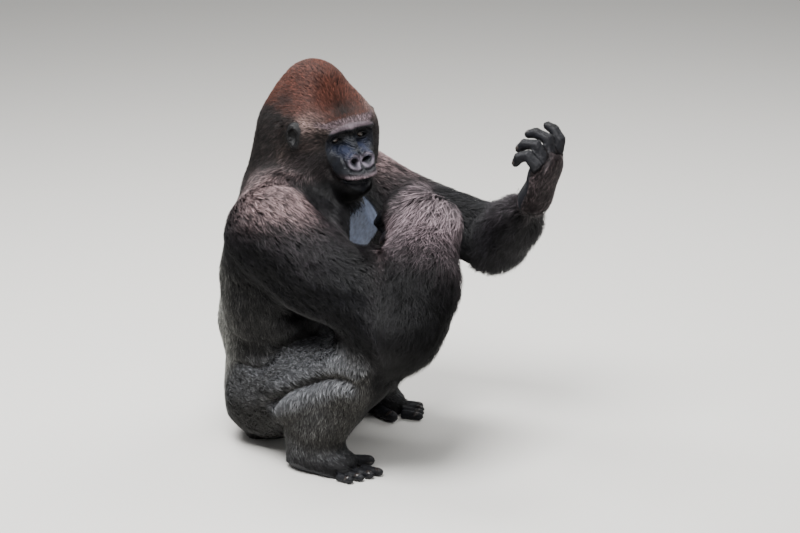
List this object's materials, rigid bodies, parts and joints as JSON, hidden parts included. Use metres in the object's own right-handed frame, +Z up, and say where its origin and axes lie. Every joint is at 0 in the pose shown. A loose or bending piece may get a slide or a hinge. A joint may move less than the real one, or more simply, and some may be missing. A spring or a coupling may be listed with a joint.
{
  "type": "gorilla",
  "caption": "Life-size adult male western lowland gorilla, a still model sitting with knees drawn up, one hand at its mouth and the other held out half closed.",
  "frame": {"origin": "on the floor, under the middle of the rump", "axes": "+Z up, +X the way the trunk faces, +Y the animal's left"},
  "size_m": [0.9027, 0.7586, 1.0193],
  "materials": {
    "eye": "wet gloss",
    "skin": "bare creased skin, satin",
    "coat_crown": "short dense rufous hair",
    "coat_brown": "long brown hair with paler tips",
    "coat_black": "coarse black hair",
    "coat_silver": "short silver-grey saddle hair",
    "nail": "polished dark keratin"
  },
  "bodies": {
    "root": {"eye_right": "eye", "ear_right": "skin", "forefinger_right": "skin", "middle_finger_right": "skin", "ring_finger_right": "skin", "little_finger_right": "skin", "thumb_right": "skin", "big_toe_right": "skin", "second_toe_right": "skin", "third_toe_right": "skin", "fourth_toe_right": "skin", "little_toe_right": "skin", "eye_left": "eye", "ear_left": "skin", "forefinger_left": "skin", "middle_finger_left": "skin", "ring_finger_left": "skin", "little_finger_left": "skin", "thumb_left": "skin", "big_toe_left": "skin", "second_toe_left": "skin", "third_toe_left": "skin", "fourth_toe_left": "skin", "little_toe_left": "skin", "face": "skin", "head": "coat_crown", "hand_right": "coat_black", "forearm_right": "coat_brown", "upper_arm_right": "coat_black", "foot_right": "coat_black", "lower_leg_right": "coat_brown", "thigh_right": "coat_brown", "hand_left": "coat_black", "forearm_left": "coat_brown", "upper_arm_left": "coat_black", "foot_left": "coat_black", "lower_leg_left": "coat_brown", "thigh_left": "coat_brown", "neck": "coat_brown", "trunk": "coat_silver"}
  },
  "joints": []
}
